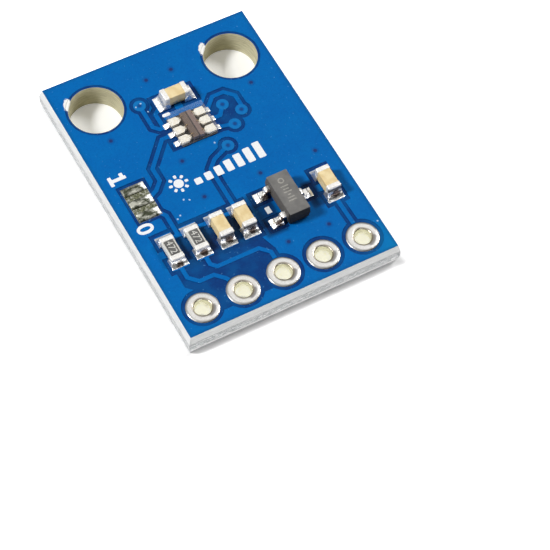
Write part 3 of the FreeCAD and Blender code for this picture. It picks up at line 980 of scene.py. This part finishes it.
class LIGHTSENSOR_OT_sensor(bpy.types.Operator):
    """Dress the clear sensor package, its chip, contacts and bond wires"""

    bl_idname = "light_sensor.sensor"
    bl_label = "Light sensor"

    def execute(self, context):
        low, high = [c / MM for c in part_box("sensor_package")]
        middle = (low + high) / 2
        package = block("sensor_resin", middle, high - low)
        soften(package, 0.035, 3)
        smooth(package)
        settle(package, material("Clear resin", clear_resin), "clear_resin", "sensor_package")
        contacts = welded_copy("sensor_contacts", "sensor_pads")
        soften(contacts, 0.03, 2)
        smooth(contacts)
        settle(contacts, material("Gold contact", gold_contact), "gold", "sensor_contacts")
        chip = welded_copy("sensor_die", "sensor_chip")
        soften(chip, 0.01, 1)
        settle(chip, material("Sensor chip", sensor_chip), "sensor_chip", "sensor_die")
        tongue = block("tongue", (0.47, 3.1, 1.715), (0.14, 0.2, 0.17))
        soften(tongue, 0.02, 2)
        bpy.ops.object.select_all(action="DESELECT")
        bpy.ops.curve.primitive_bezier_curve_add()
        line = context.object
        for knot, ((x, y, z), pull) in zip(line.data.splines[0].bezier_points, WIRE_ENDS):
            knot.co = (x, y, z)
            knot.handle_left = (x, y, z - pull)
            knot.handle_right = (x, y, z + pull)
        line.data.bevel_depth = 0.012
        line.data.bevel_resolution = 2
        bpy.ops.object.convert(target="MESH")
        wire = context.object
        smooth(wire)
        bonds = []
        for row, shift in enumerate(BOND_ROWS):
            for side in (0, 180):
                for part in (tongue, wire):
                    bonds.append(copy_of(part, f"{part.name}_{row}_{side}", (0, shift, 0), side,
                                         SENSOR_MIDDLE))
        bpy.data.objects.remove(tongue)
        bpy.data.objects.remove(wire)
        settle(joined(bonds, "sensor_bonds"), material("Bond gold", bond_gold), "gold")
        return {"FINISHED"}


class LIGHTSENSOR_OT_marks(bpy.types.Operator):
    """Print the light level sign, the jumper's numbers and the chips' digits"""

    bl_idname = "light_sensor.marks"
    bl_label = "Printed marks"

    def execute(self, context):
        ink = context.scene.light_sensor_print.ink_height / MM
        finish = material("White ink", white_ink)
        middle = (*SUN_MIDDLE, FACE)
        sun = [disc("sun", *middle, 0.29, ink)]
        ray = slab("ray", middle[0] + 0.49, middle[1], FACE, 0.22, 0.17, ink, 0.06)
        sun += [copy_of(ray, f"ray_{i}", (0, 0, 0), 45 * i, middle) for i in range(1, 8)]
        sun.append(ray)
        bars = []
        for i in range(7):
            height = BAR_HEIGHT + BAR_RISE * i
            bars.append(slab(f"bar_{i}", BAR_START + BAR_PITCH * i, BAR_FOOT + height / 2, FACE,
                             0.44, height, ink, 0.07))
        settle(joined(sun + bars, "print_light_level"), finish, "coated_board")
        settle(digits("print_jumper_0", "0", -5.57, -1.87, FACE, 0.95, ink, 0.03), finish,
               "coated_board")
        one = [slab("stem", -5.47, 1.76, FACE, 1.04, 0.22, ink * 1.05, 0.05),
               slab("foot", -5.88, 1.76, FACE, 0.22, 0.66, ink, 0.05),
               slab("flag", -5.16, 1.93, FACE, 0.22, 0.34, ink, 0.05)]
        settle(joined(one, "print_jumper_1"), finish, "coated_board")
        settle(slab("print_block", 1.18, -3.86, FACE, 0.3, 0.45, ink, 0.04), finish,
               "coated_board")
        settle(slab("print_first_contact", -0.94, 4.5, FACE, 0.5, 0.22, ink, 0.1), finish,
               "coated_board")
        for i, place in enumerate(RESISTOR_PLACES, 1):
            settle(digits(f"resistor_{i}_digits", "472", *place, GLAZE_TOP, 0.4, 0.008, -0.004),
                   material("Pale ink", pale_ink), "dark_glaze")
        return {"FINISHED"}


class LIGHTSENSOR_OT_stage(bpy.types.Operator):
    """Set the floor, the lamps, the room light and the camera"""

    bl_idname = "light_sensor.stage"
    bl_label = "Studio"

    def execute(self, context):
        sizes = context.scene.light_sensor_stage
        bpy.ops.object.select_all(action="DESELECT")
        bpy.ops.mesh.primitive_plane_add(size=2.0, location=(0, 0, -0.00002))
        floor = context.object
        floor.name = "floor"
        floor.data.materials.append(material("White floor", white_floor))
        lamps = (
            ("lamp_left", (-0.203, 0.052, 0.211), sizes.key_power, 0.065, 0.065),
            ("lamp_right", (0.221, 0.022, 0.197), sizes.fill_power, 0.075, 0.075),
            ("card_front", (0.0, -0.3, 0.04), sizes.card_power, 0.3, 0.05),
        )
        for name, place, power, width, height in lamps:
            bpy.ops.object.light_add(type="AREA", location=place)
            lamp = context.object
            lamp.name = name
            lamp.data.energy = power
            lamp.data.shape = "ELLIPSE"
            lamp.data.size = width
            lamp.data.size_y = height
            aim = -lamp.location
            lamp.rotation_euler = aim.to_track_quat("-Z", "Y").to_euler()
        world = context.scene.world or bpy.data.worlds.new("Room")
        context.scene.world = world
        world.use_nodes = True
        room(Recipe(world.node_tree), sizes.room_level)

        bpy.ops.object.camera_add(
            location=CAMERA_PLACE, rotation=[math.radians(a) for a in CAMERA_TURN],
        )
        camera = context.object
        camera.name = "camera"
        camera.data.sensor_width = 36
        camera.data.lens = CAMERA_LENS
        camera.data.clip_start = 0.001
        camera.data.clip_end = 10
        context.scene.camera = camera
        context.scene.view_settings.view_transform = "Standard"
        return {"FINISHED"}


def white_floor(recipe):
    """White paper that glows to the eye, with a painted shadow where the glow is least, in the
    mounting holes and close to the board.
    """
    point = recipe.place()
    cloud = recipe.noise(point, 0.05, 2.0)
    base = recipe.colour(cloud, tint(252, 252, 252), tint(255, 255, 255))
    paper = recipe.surface(base_color=base, roughness=0.9)
    path = recipe.node("ShaderNodeLightPath").socket.node
    camera = Value(recipe, path.outputs["Is Camera Ray"])
    through = Value(recipe, path.outputs["Is Transmission Ray"])
    glossy = Value(recipe, path.outputs["Is Glossy Ray"])
    x, y, _ = recipe.split(point)
    out = (x.size() - BOARD_HALF[0]).most(y.size() - BOARD_HALF[1])
    # Painted shadow: the glow drops in the mounting holes and close to the board.
    level = out.step(0.15, 0.7, 0.12, 0.62).most(out.step(0.0, -0.2) * 0.2)
    seen = camera.most(through) * level + glossy * 0.8
    glow = recipe.node("ShaderNodeEmission", inputs={"Color": (1, 1, 1, 1), "Strength": seen})
    return recipe.node("ShaderNodeAddShader", inputs={0: paper, 1: glow})


def room(recipe, level):
    """Even room light, white to the eye and in reflections except for a dark side in front."""
    heading = recipe.node("ShaderNodeTexCoord", output=0)
    z = recipe.split(heading)[2]
    path = recipe.node("ShaderNodeLightPath").socket.node
    camera = Value(recipe, path.outputs["Is Camera Ray"])
    glossy = Value(recipe, path.outputs["Is Glossy Ray"])
    through = Value(recipe, path.outputs["Is Transmission Ray"])
    front = recipe.node("ShaderNodeVectorMath", {"operation": "DOT_PRODUCT"},
                        {0: heading, 1: (0.25, -0.87, 0.42)}, 1)
    shine = z.step(0.1, 0.85, 0.4, 0.95) * (1.0 - front.step(0.55, 0.85) * 0.95)
    strength = camera.most(through) + glossy * shine
    strength = strength.most(level * (1.0 - camera.most(through).most(glossy)))
    background = recipe.node("ShaderNodeBackground",
                             inputs={"Color": (1, 1, 1, 1), "Strength": strength})
    recipe.output(background, "ShaderNodeOutputWorld")


class LIGHTSENSOR_PT_panel(bpy.types.Panel):
    """The module's pieces and sizes"""

    bl_idname = "LIGHTSENSOR_PT_panel"
    bl_label = "Light sensor module"
    bl_space_type = "VIEW_3D"
    bl_region_type = "UI"
    bl_category = "Light sensor"

    def draw(self, context):
        for operator in OPERATORS:
            self.layout.operator(operator.bl_idname)
        for name, group in SETTINGS.items():
            values = getattr(context.scene, name)
            for key in group.__annotations__:
                self.layout.prop(values, key)


SETTINGS = {
    "light_sensor_board": BoardSettings,
    "light_sensor_metal": MetalSettings,
    "light_sensor_print": PrintSettings,
    "light_sensor_stage": StageSettings,
}
OPERATORS = (
    LIGHTSENSOR_OT_stage,
    LIGHTSENSOR_OT_board,
    LIGHTSENSOR_OT_rings,
    LIGHTSENSOR_OT_chips,
    LIGHTSENSOR_OT_solder,
    LIGHTSENSOR_OT_regulator,
    LIGHTSENSOR_OT_sensor,
    LIGHTSENSOR_OT_marks,
)


def register():
    for made in (*SETTINGS.values(), *OPERATORS, LIGHTSENSOR_PT_panel):
        bpy.utils.register_class(made)
    for name, group in SETTINGS.items():
        setattr(bpy.types.Scene, name, bpy.props.PointerProperty(type=group))


def unregister():
    for name in SETTINGS:
        delattr(bpy.types.Scene, name)
    for made in (LIGHTSENSOR_PT_panel, *OPERATORS[::-1], *list(SETTINGS.values())[::-1]):
        bpy.utils.unregister_class(made)


def main():
    """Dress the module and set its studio."""
    register()
    bpy.ops.light_sensor.stage()
    bpy.ops.light_sensor.board()
    bpy.ops.light_sensor.rings()
    bpy.ops.light_sensor.chips()
    bpy.ops.light_sensor.solder()
    bpy.ops.light_sensor.regulator()
    bpy.ops.light_sensor.sensor()
    bpy.ops.light_sensor.marks()


if __name__ == "__main__":
    main()
